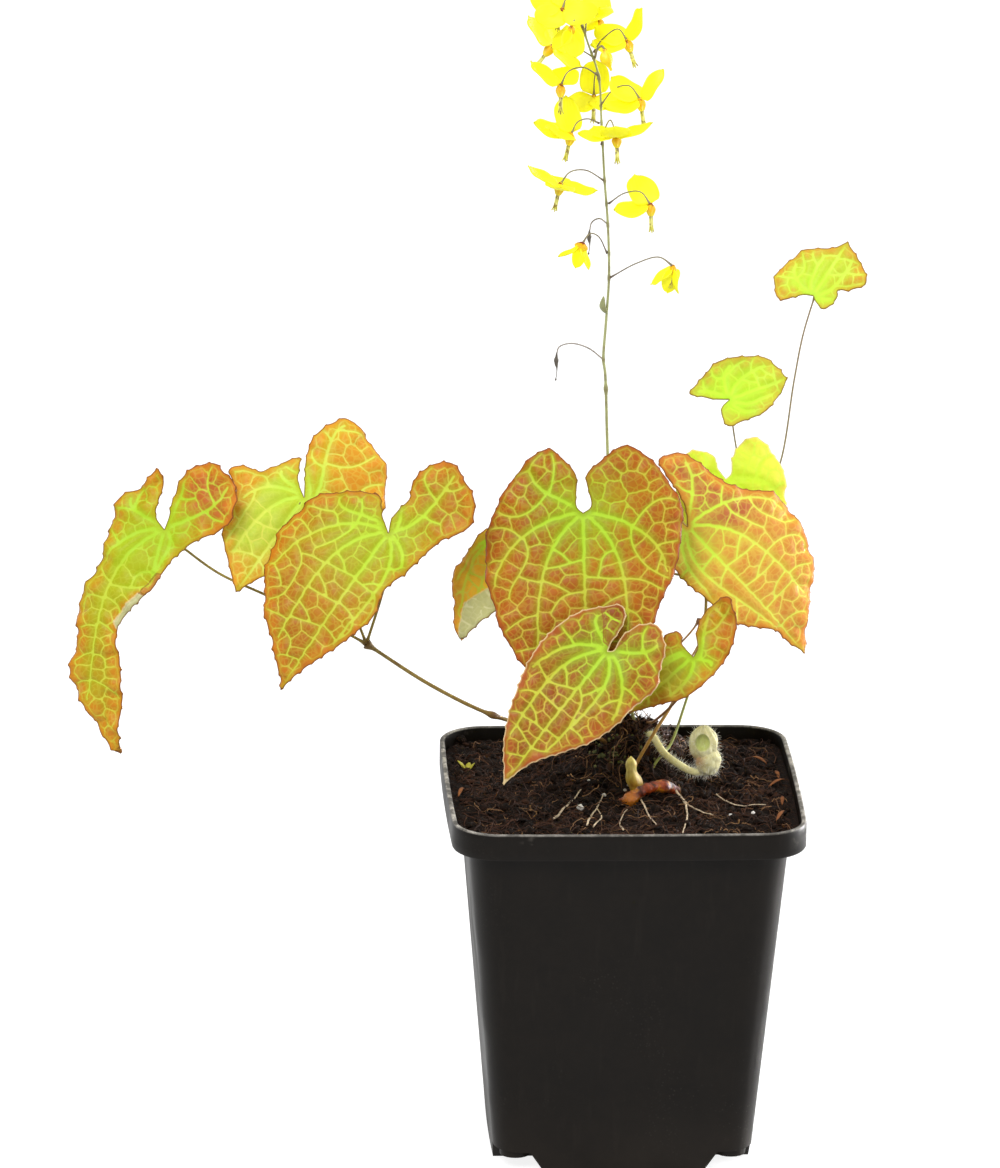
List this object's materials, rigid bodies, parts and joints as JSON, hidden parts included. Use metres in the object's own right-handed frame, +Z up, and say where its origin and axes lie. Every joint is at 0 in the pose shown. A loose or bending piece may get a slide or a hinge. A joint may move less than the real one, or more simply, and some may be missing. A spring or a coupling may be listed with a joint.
{
  "type": "potted flowering plant",
  "caption": "Potted barrenwort: square black nursery pot of compost, marbled heart-shaped leaves on wiry stalks, and one upright spray of yellow flowers.",
  "frame": {"origin": "centre of the pot's underside, on the ground", "axes": "+Z up, towards the flowers; -Y is the front, towards the viewer; +X is to the right in the front view"},
  "size_m": [0.2034, 0.0908, 0.305],
  "materials": {
    "pot_plastic": "moulded black plastic, satin, with a worn rim",
    "compost": "loose dark brown compost, rough",
    "marbled_leaf": "bronze-orange leaf with lime veins, soft satin",
    "young_leaf": "lime green young leaf, soft satin",
    "leaf_stalk": "brownish green wiry stalk",
    "flower_stem": "pale green flower stalk",
    "petal": "lemon-yellow petals with orange-yellow cups",
    "shoot": "pale, fuzzy young shoot",
    "rhizome_bark": "orange-brown rhizome skin"
  },
  "bodies": {
    "root": {"pot": "pot_plastic", "soil": "compost", "leaflet_1": "marbled_leaf", "leaflet_2": "marbled_leaf", "leaflet_3": "marbled_leaf", "leaflet_4": "marbled_leaf", "leaflet_5": "marbled_leaf", "leaflet_6": "marbled_leaf", "leaflet_7": "marbled_leaf", "leaflet_8": "marbled_leaf", "leaflet_9": "young_leaf", "leaflet_10": "young_leaf", "leaflet_11": "young_leaf", "stalk_left": "leaf_stalk", "stalk_centre": "leaf_stalk", "stalk_front": "leaf_stalk", "stalk_young": "leaf_stalk", "flower_stalk": "flower_stem", "flower_1": "petal", "flower_2": "petal", "flower_3": "petal", "flower_4": "petal", "flower_5": "petal", "flower_6": "petal", "flower_7": "petal", "flower_8": "petal", "flower_9": "petal", "flower_10": "petal", "flower_11": "petal", "flower_12": "petal", "flower_13": "petal", "flower_14": "petal", "flower_bud": "petal", "young_shoot": "shoot", "crown_bud": "shoot", "rhizome": "rhizome_bark"}
  },
  "joints": []
}
